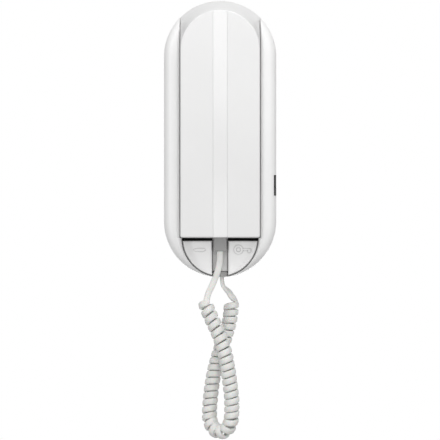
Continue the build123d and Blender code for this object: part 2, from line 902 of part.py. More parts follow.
# Line transformer: a winding body held in a yoke
with BuildPart() as transformer:
    with BuildSketch(at_depth(board_front)):
        with Locations((transformer_x, transformer_height)):
            Rectangle(transformer_width, transformer_length - transformer_core)
    extrude(amount=transformer_rise)
    with BuildSketch(at_depth(board_front + transformer_core / 2)):
        with Locations((transformer_x, transformer_height)):
            Rectangle(transformer_width - transformer_core, transformer_length)
    extrude(amount=transformer_rise - transformer_core)
transformer.part.label = "transformer"
export_step(transformer.part, "parts/transformer.step")

with BuildPart() as capacitors:
    with BuildSketch(at_depth(board_front)):
        with Locations(*[(capacitor_x, height) for height in capacitor_heights]):
            Circle(capacitor_radius)
    extrude(amount=capacitor_rise)
    fillet(capacitors.faces().group_by(Axis.Y)[0].edges(), switch_leg_radius)
capacitors.part.label = "capacitors"
export_step(capacitors.part, "parts/capacitors.step")

# Volume slider: its switch on the wing's inner wall, and the knob in the slot
volume_wall = bay_half + wall + fit
volume_middle = (volume_switch_back + volume_switch_front) / 2
volume_groove_half = volume_stem_width / 2 + fit / 2
knob_rest = volume_height - volume_slot_length / 2 + volume_end_clearance + volume_knob_length / 2
with BuildPart() as volume_switch:
    with BuildSketch(Plane.YZ.offset(volume_wall)):
        with Locations((-volume_middle, volume_height)):
            Rectangle(volume_switch_front - volume_switch_back, volume_switch_length)
    extrude(amount=volume_switch_thickness)
    with BuildSketch(Plane.YZ.offset(volume_wall + volume_switch_thickness)):
        with Locations((-volume_middle, volume_height)):
            Rectangle(2 * volume_groove_half, volume_slot_length + volume_knob_length)
    extrude(amount=-volume_groove_depth, mode=Mode.SUBTRACT)
volume_switch.part.label = "volume_switch"
export_step(volume_switch.part, "parts/volume_switch.step")

with BuildPart() as volume_knob:
    with BuildSketch(at_depth(volume_slot_back + gap)):
        with Locations(((volume_wall + volume_switch_thickness + gap + housing_radius) / 2, knob_rest)):
            Rectangle(housing_radius - volume_wall - volume_switch_thickness - gap, volume_knob_length)
    extrude(amount=volume_slot_front - volume_slot_back - 2 * gap)
    with BuildSketch(at_depth(shadow_gap)):
        stadium(housing_radius + volume_knob_proud)
    knob_limit = extrude(amount=wing_depth - shadow_gap + volume_knob_proud, mode=Mode.PRIVATE)
    knob_limit = knob_limit.fillet(shoulder_radius, knob_limit.faces().sort_by(Axis.Y)[0].edges())
    add(knob_limit, mode=Mode.INTERSECT)
    with BuildSketch(Plane.YZ.offset(volume_wall + volume_switch_thickness - volume_groove_depth + gap)):
        with Locations((-volume_middle, knob_rest)):
            Rectangle(volume_stem_width - fit, volume_knob_length)
    extrude(amount=volume_groove_depth)
volume_knob.part.label = "volume_knob"
export_step(volume_knob.part, "parts/volume_knob.step")

# Strain relief at the foot of the base; its flange shows under the channel plate
base_relief_back = plate_thickness + fit
with BuildPart() as base_strain_relief:
    with BuildSketch(Plane.XY.offset(base_relief_bottom)):
        with Locations((0, -(base_relief_back + base_relief_body_front) / 2)):
            Rectangle(2 * base_relief_half_width, base_relief_body_front - base_relief_back)
    extrude(amount=base_relief_top - base_relief_bottom)
    with BuildSketch(Plane.XY.offset(base_relief_bottom)):
        with Locations((0, -(base_relief_back + base_relief_flange_front) / 2)):
            Rectangle(2 * base_relief_half_width, base_relief_flange_front - base_relief_back)
    extrude(amount=notch_top - gap - base_relief_bottom)
    chamfer(base_strain_relief.faces().sort_by(Axis.Y)[0].edges(), channel_plate_edge)
base_strain_relief.part.label = "base_strain_relief"
export_step(base_strain_relief.part, "parts/base_strain_relief.step")

# Connector on the board, into which the cord's leads are plugged
with BuildPart() as base_connector:
    with BuildSketch(at_depth(board_front)):
        with Locations((0, (base_connector_top + base_relief_top + gap) / 2)):
            Rectangle(2 * base_connector_half_width, base_connector_top - base_relief_top - gap)
    extrude(amount=base_relief_body_front - board_front)
    with BuildSketch(Plane.XY.offset(base_connector_top)):
        with Locations((0, -(board_front + base_relief_body_front) / 2)):
            with GridLocations(connector_pin_pitch, 0, connector_pin_count, 1):
                Rectangle(connector_pin_side, connector_pin_side)
    extrude(amount=connector_pin_length)
base_connector.part.label = "base_connector"
export_step(base_connector.part, "parts/base_connector.step")

# Handset: outer form with its finger hollow, and the space inside its walls
with BuildPart() as handset_block:
    add(handset_form(0, handset_back, handset_front, handset_corner_radius))
    fillet(handset_block.faces().sort_by(Axis.Y)[0].edges(), handset_edge_radius)
    with BuildSketch(Plane.YZ):
        add(grip_outline(0))
    extrude(amount=handset_width, both=True, mode=Mode.SUBTRACT)

with BuildPart() as handset_hollow:
    add(handset_form(wall, handset_back + wall, front_inside, handset_corner_radius / 2))
    with BuildSketch(Plane.YZ):
        add(grip_outline(wall))
    extrude(amount=handset_width, both=True, mode=Mode.SUBTRACT)

with BuildPart() as handset_back_shell:
    add(handset_block.part)
    add(handset_hollow.part, mode=Mode.SUBTRACT)
    split(bisect_by=at_depth(seam_depth - seam_gap / 2), keep=Keep.BOTTOM)

    # Dished ear and mouth ends, each with its grille
    with BuildSketch(at_depth(handset_back)):
        with Locations((0, ear_height)):
            Circle(ear_recess_radius + wall)
    extrude(amount=ear_seat - handset_back)
    with BuildSketch(at_depth(handset_back)):
        with Locations((0, mouth_height)):
            Circle(mouth_recess_radius + wall)
    extrude(amount=mouth_seat - handset_back)
    with BuildSketch(at_depth(handset_back)):
        with Locations((0, ear_height)):
            Circle(ear_recess_radius)
    extrude(amount=ear_recess_depth, mode=Mode.SUBTRACT)
    with BuildSketch(at_depth(handset_back)):
        with Locations((0, mouth_height)):
            Circle(mouth_recess_radius)
    extrude(amount=mouth_recess_depth, mode=Mode.SUBTRACT)
    with BuildSketch(at_depth(ear_floor - fit)):
        with Locations((0, ear_height)):
            ring_of_holes(ear_hole_radius, ear_hole_pitch, ear_hole_rings, ear_holes_per_ring)
    extrude(amount=wall + 2 * fit, mode=Mode.SUBTRACT)
    with BuildSketch(at_depth(mouth_floor - fit)):
        with Locations((0, mouth_height)):
            ring_of_holes(mouth_hole_radius, mouth_hole_pitch, 1, mouth_holes_per_ring)
    extrude(amount=wall + 2 * fit, mode=Mode.SUBTRACT)

    # Collar that holds the microphone boot
    with BuildSketch(at_depth(mouth_seat)):
        with Locations((0, mouth_height)):
            Circle(boot_radius + fit + boot_collar_wall)
            Circle(boot_radius + fit, mode=Mode.SUBTRACT)
    extrude(amount=boot_collar_height)

    # Hole in the foot for the tongue
    with BuildSketch(Plane.XY.offset(handset_bottom)):
        with Locations((0, -tongue_middle)):
            RectangleRounded(tongue_width + fit, tongue_thickness + fit, handset_edge_radius)
    extrude(amount=wall + 2 * fit, mode=Mode.SUBTRACT)

    # Screw holes with sunk heads, in the grip
    with BuildSketch(at_depth(grip_depth)):
        with Locations(*handset_screw_places):
            Circle(screw_radius + fit)
    extrude(amount=wall, mode=Mode.SUBTRACT)
    with BuildSketch(at_depth(grip_depth)):
        with Locations(*handset_screw_places):
            Circle(screw_head_radius + fit)
    extrude(amount=screw_head_height, mode=Mode.SUBTRACT)
handset_back_shell.part.label = "handset_back_shell"
export_step(handset_back_shell.part, "parts/handset_back_shell.step")

with BuildPart() as handset_front_shell:
    add(handset_block.part)
    add(handset_hollow.part, mode=Mode.SUBTRACT)
    split(bisect_by=at_depth(seam_depth + seam_gap / 2), keep=Keep.TOP)
    with BuildSketch(at_depth(handset_front - stripe_thickness)):
        Rectangle(stripe_width + 2 * fit, 2 * housing_height)
    extrude(amount=overrun, mode=Mode.SUBTRACT)

    # Tube that clamps the receiver, and the bosses for the screws
    with BuildSketch(at_depth(receiver_end + gap)):
        with Locations((0, ear_height)):
            Circle(clamp_tube_radius)
            Circle(clamp_tube_radius - clamp_tube_wall, mode=Mode.SUBTRACT)
    extrude(amount=front_inside - receiver_end - gap)
    with BuildSketch(at_depth(spine_inside + fit)):
        with Locations(*handset_screw_places):
            Circle(screw_boss_radius)
    extrude(amount=front_inside - spine_inside - fit)
    with BuildSketch(at_depth(spine_inside)):
        with Locations(*handset_screw_places):
            Circle(screw_radius)
    extrude(amount=screw_length, mode=Mode.SUBTRACT)
handset_front_shell.part.label = "handset_front_shell"
export_step(handset_front_shell.part, "parts/handset_front_shell.step")

# Glossy stripe set in the channel down the front
with BuildPart() as front_stripe:
    add(handset_block.part)
    with BuildSketch(at_depth(handset_front - stripe_thickness)):
        Rectangle(stripe_width, 2 * housing_height)
    extrude(amount=stripe_thickness - stripe_sink, mode=Mode.INTERSECT)
front_stripe.part.label = "front_stripe"
export_step(front_stripe.part, "parts/front_stripe.step")

with BuildPart() as handset_screws:
    with BuildSketch(at_depth(grip_depth + fit)):
        with Locations(*handset_screw_places):
            Circle(screw_head_radius)
    extrude(amount=screw_head_height - fit)
    with BuildSketch(at_depth(grip_depth + screw_head_height)):
        with Locations(*handset_screw_places):
            Circle(screw_radius - fit / 2)
    extrude(amount=screw_length)
    with BuildSketch(at_depth(grip_depth + fit)):
        with Locations(*handset_screw_places):
            Rectangle(3 * screw_head_radius, screw_slot_width)
    extrude(amount=screw_slot_depth - 2 * fit, mode=Mode.SUBTRACT)
handset_screws.part.label = "handset_screws"
export_step(handset_screws.part, "parts/handset_screws.step")

# Receiver with its dust cloth and foam seal
with BuildPart() as receiver_seal:
    with BuildSketch(at_depth(ear_seat)):
        with Locations((0, ear_height)):
            Circle(seal_outer_radius)
            Circle(seal_inner_radius, mode=Mode.SUBTRACT)
    extrude(amount=seal_thickness)
receiver_seal.part.label = "receiver_seal"
export_step(receiver_seal.part, "parts/receiver_seal.step")

with BuildPart() as receiver_cloth:
    with BuildSketch(at_depth(ear_seat)):
        with Locations((0, ear_height)):
            Circle(seal_inner_radius - fit)
    extrude(amount=cloth_thickness)
receiver_cloth.part.label = "receiver_cloth"
export_step(receiver_cloth.part, "parts/receiver_cloth.step")

with BuildPart() as receiver:
    with BuildSketch(Plane.XY.offset(ear_height)):
        with BuildLine():
            Polyline(
                (0, -receiver_back),
                (receiver_radius, -receiver_back),
                (receiver_radius, -receiver_back - receiver_rim),
                (receiver_cone_radius, -receiver_back - receiver_rim),
                (receiver_cone_radius, -receiver_back - receiver_rim - wall),
                (receiver_magnet_radius, -receiver_back - receiver_rim - wall),
                (receiver_magnet_radius, -receiver_end),
                (0, -receiver_end),
                close=True,
            )
        make_face()
    revolve(axis=Axis((0, 0, ear_height), (0, 1, 0)))
receiver.part.label = "receiver"
export_step(receiver.part, "parts/receiver.step")

# Microphone in its rubber boot
with BuildPart() as microphone_boot:
    with BuildSketch(at_depth(mouth_seat)):
        with Locations((0, mouth_height)):
            Circle(boot_radius)
            Circle(boot_port_radius, mode=Mode.SUBTRACT)
    extrude(amount=boot_length)
    with BuildSketch(at_depth(mouth_seat + boot_floor)):
        with Locations((0, mouth_height)):
            Circle(microphone_radius)
    extrude(amount=boot_length, mode=Mode.SUBTRACT)
microphone_boot.part.label = "microphone_boot"
export_step(microphone_boot.part, "parts/microphone_boot.step")

with BuildPart() as microphone:
    with BuildSketch(at_depth(mouth_seat + boot_floor)):
        with Locations((0, mouth_height)):
            Circle(microphone_radius)
    extrude(amount=microphone_length)
    fillet(microphone.faces().sort_by(Axis.Y)[0].edges(), switch_leg_radius)
microphone.part.label = "microphone"
export_step(microphone.part, "parts/microphone.step")

# Steel plate that gives the handset its weight
with BuildPart() as ballast_plate:
    with BuildSketch(at_depth(spine_inside)):
        RectangleRounded(ballast_width, ballast_length, wall)
    extrude(amount=ballast_thickness)
ballast_plate.part.label = "ballast_plate"
export_step(ballast_plate.part, "parts/ballast_plate.step")

# Tongue that leads the cord out under the handset, held by a lug on each side
with BuildPart() as handset_tongue:
    with BuildSketch(Plane.XY.offset(tongue_bottom)):
        with Locations((0, -tongue_middle)):
            RectangleRounded(tongue_width, tongue_thickness, handset_edge_radius)
            Rectangle(relief_width + fit, relief_thickness + fit, mode=Mode.SUBTRACT)
    extrude(amount=handset_bottom + wall + fit - tongue_bottom)
    with BuildSketch(Plane.XY.offset(handset_bottom + wall + fit)):
        for side in mirrored:
            with Locations((side * (tongue_width + relief_width + fit + 2 * lug_reach) / 4, -tongue_middle)):
                Rectangle((tongue_width - relief_width - fit) / 2 + lug_reach, lug_length)
    extrude(amount=lug_height)
handset_tongue.part.label = "handset_tongue"
export_step(handset_tongue.part, "parts/handset_tongue.step")

# Strain relief in the tongue and the connector above it
with BuildPart() as handset_strain_relief:
    with BuildSketch(Plane.XY.offset(relief_bottom)):
        with Locations((0, -tongue_middle)):
            Rectangle(relief_width, relief_thickness)
    extrude(amount=relief_length)
    chamfer(handset_strain_relief.faces().sort_by(Axis.Z)[0].edges(), relief_proud)
handset_strain_relief.part.label = "handset_strain_relief"
export_step(handset_strain_relief.part, "parts/handset_strain_relief.step")

connector_bottom = relief_bottom + relief_length + 2 * gap
connector_back = handset_back + wall
with BuildPart() as handset_connector:
    with BuildSketch(Plane.XY.offset(connector_bottom)):
        with Locations((0, -(connector_back + connector_thickness / 2))):
            Rectangle(connector_width, connector_thickness)
    extrude(amount=connector_length)
handset_connector.part.label = "handset_connector"
export_step(handset_connector.part, "parts/handset_connector.step")


def corner_radii(points):
    """Radius of each tangent arc, whose ends take a share of the shorter run beside it."""
    radii = []
    for before, corner, after in zip(points, points[1:], points[2:]):
        half_turn = math.radians((corner - before).get_angle(after - corner)) / 2
        shorter = min((corner - before).length, (after - corner).length)
        radii.append(arc_share * shorter / math.tan(half_turn))
    return radii


def wire_pair(places):
    """Two mirrored wires that follow one route of straight runs and tangent arcs."""
    with BuildPart() as pair:
        for side in mirrored:
            points = [Vector(side * x, -depth, height) for x, depth, height in places]
            with BuildLine() as line:
                FilletPolyline(*points, radius=corner_radii(points))
            with BuildSketch(Plane(origin=points[0], z_dir=points[1] - points[0])):
                Circle(wire_radius)
            sweep(path=line.line)
    return pair.part


connector_front = connector_back + connector_thickness
wire_start_height = connector_bottom + connector_length / 2
receiver_rim_end = receiver_back + receiver_rim
wire_end_height = ear_height - (receiver_radius + receiver_cone_radius) / 2
receiver_wires = wire_pair([
    (receiver_wire_x, connector_front, wire_start_height),
    (receiver_wire_x, receiver_wire_depth, wire_start_height),
    (receiver_wire_side, receiver_wire_depth, mouth_height),
    (receiver_wire_side, receiver_wire_depth + fit, grip_top),
    (receiver_wire_end, receiver_wire_depth, wire_end_height),
    (receiver_wire_end, receiver_rim_end, wire_end_height),
])
receiver_wires.label = "receiver_wires"
export_step(receiver_wires, "parts/receiver_wires.step")

microphone_back = mouth_seat + boot_floor + microphone_length
microphone_wires = wire_pair([
    (microphone_wire_x, connector_front, wire_start_height),
    (microphone_wire_x, microphone_wire_depth, wire_start_height),
    (microphone_wire_x, microphone_wire_depth, mouth_height),
    (microphone_wire_x, microphone_back, mouth_height),
])
microphone_wires.label = "microphone_wires"
export_step(microphone_wires, "parts/microphone_wires.step")


def route_samples_of(points):
    """Points, with the distance run so far, along the smooth curve that the
    control points pull: quadratic pieces that join at the runs' middles."""
    joints = [points[0]]
    joints += [(a + b) / 2 for a, b in zip(points[1:-2], points[2:-1])]
    joints.append(points[-1])
    places = [joints[0]]
    for start, pull, end in zip(joints, points[1:-1], joints[1:]):
        for step in range(1, route_samples + 1):
            t = step / route_samples
            places.append(start * (1 - t) ** 2 + pull * 2 * t * (1 - t) + end * t**2)
    run = [0.0]
    for before, after in zip(places, places[1:]):
        run.append(run[-1] + (after - before).length)
    return places, run


def pitch_share(share):
    """Relative pitch at a share of the coil's length."""
    upper = max(0, 1 - share / upper_length_share)
    edge = abs(share - bend_centre_share) - bend_half_width_share
    bend = min(1, max(0, -edge / bend_ramp_share))
    return 1 + (upper_pitch_share - 1) * upper + (bend_pitch_share - 1) * bend * bend * (3 - 2 * bend)


def coil_points():
    """Points of the coil and the direction at each, a step apart along its turns."""
    places, run = route_samples_of([Vector(x, -depth, height) for x, depth, height in coil_route])
    turned = [0.0]
    across = [Vector(1, 0, 0)]
    for index in range(1, len(places)):
        along = (places[index] - places[index - 1]).normalized()
        across.append((across[-1] - along * across[-1].dot(along)).normalized())
        step = (run[index] - run[index - 1]) / pitch_share(run[index] / run[-1])
        turned.append(turned[-1] + step)
    across[0] = across[1]
    scale = coil_turns / turned[-1]

    def place_at(turns):
        index = 1
        low, high = 0, len(turned) - 1
        while high - low > 1:
            middle = (low + high) // 2
            low, high = (middle, high) if turned[middle] * scale <= turns else (low, middle)
        index = high
        part = (turns / scale - turned[index - 1]) / (turned[index] - turned[index - 1])
        centre = places[index - 1] + (places[index] - places[index - 1]) * part
        along = (places[index] - places[index - 1]).normalized()
        side = across[index - 1] + (across[index] - across[index - 1]) * part
        side = (side - along * side.dot(along)).normalized()
        angle = math.radians(coil_start_angle) + 2 * math.pi * turns
        outward = side * math.cos(angle) + along.cross(side) * math.sin(angle)
        return centre + outward * coil_radius

    spots = []
    count = math.floor(coil_turns * coil_steps_per_turn)
    nudge = 1 / (8 * coil_steps_per_turn)
    for step in range(count + 1):
        turns = step / coil_steps_per_turn
        ahead = place_at(min(turns + nudge, coil_turns))
        behind = place_at(max(turns - nudge, 0))
        spots.append((place_at(turns), (ahead - behind).normalized()))
    return spots


def biarc(start, start_way, end, end_way):
    """Two arcs that meet smoothly and join one point and direction to the next."""
    chord = end - start
    ways = start_way + end_way
    spread = 2 * (1 - start_way.dot(end_way))
    reach = (-chord.dot(ways) + math.sqrt(chord.dot(ways) ** 2 + spread * chord.dot(chord))) / spread
    middle = (start + start_way * reach + end - end_way * reach) / 2
    middle_way = (end - end_way * reach) - (start + start_way * reach)
    return [
        Edge.make_tangent_arc(start, start_way, middle),
        Edge.make_tangent_arc(middle, middle_way, end),
    ]


def free_run(places):
    """Straight runs and tangent arcs of a free stretch, with the radii printed."""
    radii = corner_radii(places)
    print("cord radii", [round(radius, 1) for radius in radii])
    with BuildLine() as line:
        FilletPolyline(*places, radius=radii)
    return line.edges()


# Curly cord: a free stretch from the handset, the coil, and a free stretch to the base
handset_places = [Vector(0, -tongue_middle, relief_bottom)]
handset_places += [Vector(x, -depth, height) for x, depth, height in handset_tail]
base_places = [Vector(base_cord_x, -base_cord_depth, base_relief_bottom)]
base_places += [Vector(x, -depth, height) for x, depth, height in base_tail]
spots = coil_points()
cord_edges = list(free_run(handset_places))
first_place, first_way = spots[0]
last_place, last_way = spots[-1]
handset_way = (handset_places[-1] - handset_places[-2]).normalized()
base_way = (base_places[-2] - base_places[-1]).normalized()
cord_edges += biarc(handset_places[-1], handset_way, first_place, first_way)
for (place, way), (next_place, next_way) in zip(spots, spots[1:]):
    cord_edges += biarc(place, way, next_place, next_way)
cord_edges += biarc(last_place, last_way, base_places[-1], base_way)
cord_edges += list(free_run(base_places))
cord_path = Wire(cord_edges)
tightest = min(edge.radius for edge in cord_edges if edge.geom_type == GeomType.CIRCLE)
print("cord length", round(cord_path.length, 1), "tightest arc", round(tightest, 2))
print("coil start", first_place, "coil end", last_place, "way", last_way)

with BuildPart() as curly_cord:
    with BuildSketch(Plane(origin=handset_places[0], z_dir=handset_places[1] - handset_places[0])):
        Circle(cord_radius)
    sweep(path=cord_path)
curly_cord.part.label = "curly_cord"
export_step(curly_cord.part, "parts/curly_cord.step")
print("cord volume over section times length",
      round(curly_cord.part.volume / (math.pi * cord_radius**2 * cord_path.length), 4))


def least_gap():
    """Least distance between the surfaces of different turns of the cord."""
    sample_count = round(coil_turns * cord_samples_per_turn)
    places = [cord_path.position_at(step / sample_count) for step in range(sample_count + 1)]
    spacing = cord_path.length / sample_count
    skip = math.ceil(2 * cord_diameter / spacing)
    least = math.inf
    for index, place in enumerate(places):
        for other in places[index + skip:]:
            least = min(least, (place - other).length)
    return least - cord_diameter


cord_gap = least_gap()
print("least gap of the cord to itself", round(cord_gap, 2), "wanted over", cord_gap_wanted)
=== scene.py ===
"""Looks of the audio intercom handset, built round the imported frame.

Metres throughout, save where a comment says millimetres, in the part's own
frame: X across, Z up, the wall is the plane Y = 0 and the user stands on the
side of negative Y.
"""

import json
import math

import bpy
import numpy as np
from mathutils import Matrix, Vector


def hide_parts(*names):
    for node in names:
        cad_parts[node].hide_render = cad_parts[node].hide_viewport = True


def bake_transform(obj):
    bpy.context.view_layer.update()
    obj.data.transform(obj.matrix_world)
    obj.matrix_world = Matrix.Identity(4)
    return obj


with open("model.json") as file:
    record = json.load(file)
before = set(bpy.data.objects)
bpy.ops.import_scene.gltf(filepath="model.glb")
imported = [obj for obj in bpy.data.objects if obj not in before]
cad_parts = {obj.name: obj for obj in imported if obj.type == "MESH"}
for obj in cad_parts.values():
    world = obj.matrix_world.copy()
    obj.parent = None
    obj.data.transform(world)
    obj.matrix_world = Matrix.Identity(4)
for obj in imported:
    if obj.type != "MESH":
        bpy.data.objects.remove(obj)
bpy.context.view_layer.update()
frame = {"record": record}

MM = 0.001

# Camera: level, far off and with a long lens, so that little is foreshortened.
# At TRUE_DEPTH before the wall the picture is PICTURE_SIDE across.
PICTURE_SIDE = 0.352
PICTURE_MIDDLE = (-0.0001, -0.0649)
CAMERA_REACH = 4.0
TRUE_DEPTH = 0.038
SENSOR = 36.0
LEVEL = math.radians(90)

camera = bpy.data.objects.new("camera", bpy.data.cameras.new("camera"))
camera.data.sensor_width = SENSOR
camera.data.lens = SENSOR * CAMERA_REACH / PICTURE_SIDE
camera.location = (PICTURE_MIDDLE[0], -TRUE_DEPTH - CAMERA_REACH, PICTURE_MIDDLE[1])
camera.rotation_euler = (LEVEL, 0, 0)
bpy.context.collection.objects.link(camera)
bpy.context.scene.camera = camera
bpy.context.scene.view_settings.view_transform = "Standard"


# Curly cord

# Across, depth and height of the route's points in millimetres: down from the
# handset, round the hanging bend and up to the base
HANDSET_TAIL = [
    (0.0, 28.5, -89.6), (0.0, 28.5, -98.4), (-2.2, 28.8, -107.2),
    (-5.4, 29.2, -115.2), (-8.8, 29.6, -122.2),
]
COIL_ROUTE = [
    (-12.6, 29.0, -131.4), (-6.6, 30.5, -144.5), (-1.0, 32.0, -156.0),
    (3.2, 33.0, -168.5), (5.8, 32.6, -181.0), (7.7, 31.8, -194.0),
    (9.4, 30.6, -207.5), (9.4, 29.4, -218.5), (8.8, 28.6, -227.6),
    (4.2, 26.2, -234.9), (-3.4, 22.0, -234.9), (-8.2, 19.4, -227.6),
    (-8.7, 18.6, -218.5), (-7.7, 18.0, -207.5), (-6.3, 17.4, -195.0),
    (-3.6, 16.8, -182.0), (0.2, 16.4, -169.5), (4.6, 15.8, -157.5),
    (7.9, 14.8, -145.5), (9.2, 13.6, -133.0),
]
BASE_TAIL = [
    (8.9, 10.2, -124.6), (4.4, 11.0, -120.6), (1.5, 11.0, -117.0), (1.5, 11.0, -110.3),
]

# Flat-oval cord, wound with its flat side towards the coil's axis
CORD_WIDTH = 5.05 * MM
CORD_THICKNESS = 3.1 * MM
SECTION_POWER = 3.0
COIL_OUTER = 12.3 * MM
COIL_TURNS = 38.45
COIL_START_TURN = 80 / 360

# Beside the coil the cord turns its flat side to the user over TWIST_LENGTH, and
# between TWIST_START and TWIST_LENGTH from the base it turns edge on
TWIST_LENGTH = 9 * MM
TWIST_START = 22 * MM
FLAT_SIDE_WAY = (0, -1, 0)
EDGE_ON_WAY = (1, -0.2, 0)

# Pitch of the coil relative to its plain strands, stretched at the handset's end
# and round the bend, and the shares of its length where that is so
UPPER_PITCH = 1.16
UPPER_LENGTH = 0.22
BEND_PITCH = 1.08
BEND_CENTRE = 0.508
BEND_HALF_WIDTH = 0.085
BEND_RAMP = 0.03

# Fineness of the route and of the cord's mesh
ROUTE_ORDER = 3
ROUTE_STEPS = 40
ROUTE_SAMPLES = 6000
RINGS_PER_TURN = 30
RING_POINTS = 16


def point(place):
    """Across, depth and height in millimetres as a point of the frame."""
    x, depth, height = place
    return Vector((x, -depth, height)) * MM


def spline_line(places):
    """Points along the NURBS spline that the places control."""
    data = bpy.data.curves.new("route", "CURVE")
    data.dimensions = "3D"
    data.resolution_u = ROUTE_STEPS
    spline = data.splines.new("NURBS")
    spline.points.add(len(places) - 1)
    for spot, place in zip(spline.points, places):
        spot.co = (*point(place), 1.0)
    spline.order_u = ROUTE_ORDER
    spline.use_endpoint_u = True
    carrier = bpy.data.objects.new("route", data)
    bpy.context.collection.objects.link(carrier)
    mesh = bpy.data.meshes.new_from_object(carrier)
    line = np.array([v.co for v in mesh.vertices])
    bpy.data.objects.remove(carrier)
    bpy.data.meshes.remove(mesh)
    return line


def run_along(line):
    """Distance of each point of a line from its start, along the line."""
    return np.concatenate([[0], np.cumsum(np.linalg.norm(np.diff(line, axis=0), axis=1))])


def read_off(rows, run, at):
    """Rows of three values, read off at other distances along their run."""
    return np.stack([np.interp(at, run, rows[:, k]) for k in range(3)], axis=1)


def unit(rows):
    return rows / np.linalg.norm(rows, axis=-1, keepdims=True)


def transported(line):
    """Directions along the line, and one across it that never twists."""
    along = unit(np.gradient(line, axis=0))
    across = np.zeros_like(line)
    across[0] = unit(np.array([1.0, 0, 0]) - along[0] * along[0][0])
    for i in range(1, len(line)):
        across[i] = unit(across[i - 1] - along[i] * (across[i - 1] @ along[i]))
    return along, across


def smooth(t):
    """Goes from 0 to 1 as t does, level at both ends."""
    t = np.clip(t, 0, 1)
    return t * t * (3 - 2 * t)


def pitch_at(share):
    """Relative pitch of the coil at a share of its length."""
    upper = np.clip(1 - share / UPPER_LENGTH, 0, 1)
    bend = smooth((BEND_HALF_WIDTH - np.abs(share - BEND_CENTRE)) / BEND_RAMP)
    return 1 + (UPPER_PITCH - 1) * upper + (BEND_PITCH - 1) * bend


def turned_to(ways, target, share):
    """Directions turned towards one target by a share from 0 to 1."""
    share = share[:, None]
    return unit(ways * (1 - share) + unit(np.array(target, float)) * share)


def cord_lines():
    """Centre, outward and sideways direction and distance along of every ring."""
    line = spline_line(HANDSET_TAIL + COIL_ROUTE + BASE_TAIL)
    run = run_along(line)
    fine = np.linspace(0, run[-1], ROUTE_SAMPLES)
    line = read_off(line, run, fine)
    along, across = transported(line)

    def distance_to(place):
        """Distance along the line to the point nearest to a place of the route."""
        return fine[np.argmin(np.linalg.norm(line - np.array(point(place)), axis=1))]

    before, after = distance_to(HANDSET_TAIL[-1]), distance_to(BASE_TAIL[0])
    first, last = distance_to(COIL_ROUTE[0]), distance_to(COIL_ROUTE[-1])
    share = np.clip((fine - first) / (last - first), 0, 1)
    inside = (fine >= first) & (fine <= last)
    turned = np.cumsum(np.where(inside, 1 / pitch_at(share), 0))
    turned *= COIL_TURNS / turned[-1]
    angle = 2 * math.pi * (COIL_START_TURN + turned)
    outward = across * np.cos(angle)[:, None] + np.cross(along, across) * np.sin(angle)[:, None]
    ramp = smooth((fine - before) / (first - before))
    ramp *= smooth((after - fine) / (after - last))
    radius = ramp * (COIL_OUTER - CORD_THICKNESS) / 2
    centre = line + outward * radius[:, None]
    free = 1 - smooth((fine - first + TWIST_LENGTH) / TWIST_LENGTH)
    free += smooth((fine - last) / TWIST_LENGTH)
    outward = turned_to(outward, FLAT_SIDE_WAY, free)
    edge_on = smooth((TWIST_START - (fine[-1] - fine)) / (TWIST_START - TWIST_LENGTH))
    outward = turned_to(outward, EDGE_ON_WAY, edge_on)

    length = run_along(centre)
    even = np.linspace(0, length[-1], int(COIL_TURNS * RINGS_PER_TURN))
    centre = read_off(centre, length, even)
    outward = unit(read_off(outward, length, even))
    ways = unit(np.gradient(centre, axis=0))
    outward = unit(outward - ways * np.sum(outward * ways, axis=1, keepdims=True))
    return centre, outward, np.cross(ways, outward), even


def cord_section():
    """Outward and sideways distances of the points of the flat-oval section."""
    turn = np.linspace(0, 2 * math.pi, RING_POINTS, endpoint=False)
    cosine, sine = np.cos(turn), np.sin(turn)
    power = 2 / SECTION_POWER
    out = np.sign(cosine) * np.abs(cosine) ** power * CORD_THICKNESS / 2
    side = np.sign(sine) * np.abs(sine) ** power * CORD_WIDTH / 2
    return out, side


def tube(name, rings):
    """Closed tube through rings of RING_POINTS points each."""
    count = len(rings)
    points = [tuple(p) for p in rings.reshape(-1, 3)]
    faces = []
    for i in range(count - 1):
        for k in range(RING_POINTS):
            n = (k + 1) % RING_POINTS
            a, b = i * RING_POINTS, (i + 1) * RING_POINTS
            faces.append((a + k, b + k, b + n, a + n))
    faces.append(tuple(range(RING_POINTS)))
    faces.append(tuple(reversed(range((count - 1) * RING_POINTS, count * RING_POINTS))))
    mesh = bpy.data.meshes.new(name)
    mesh.from_pydata(points, [], faces)
    mesh.shade_smooth()
    made = bpy.data.objects.new(name, mesh)
    bpy.context.collection.objects.link(made)
    return made


def make_cord():
    """Cord from the handset down round the hanging bend and up to the base, in place of the CAD
    cord.
    """
    centre, outward, sideways, even = cord_lines()
    out, side = cord_section()
    made = tube("cord", centre[:, None, :] + outward[:, None, :] * out[None, :, None]
                + sideways[:, None, :] * side[None, :, None])
    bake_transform(made)
    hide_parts("curly_cord")
    return made


cord = make_cord()


# Materials

WHITE = (1.0, 1.0, 1.0)
EDGE_SAMPLES = 6
# Occlusion samples and spread of the painted shade in inner corners
CORNER_SHADE_SAMPLES = 8
CORNER_SHADE_SPREAD = (0.45, 0.95)
TONE_SPREAD = (0.35, 0.65)


def maths(tree, operation, first, second):
    """Output of a Math node on two values."""
    made = tree.nodes.new("ShaderNodeMath")
    made.operation = operation
    tree.links.new(first, made.inputs[0])
    tree.links.new(second, made.inputs[1])
    return made.outputs["Value"]


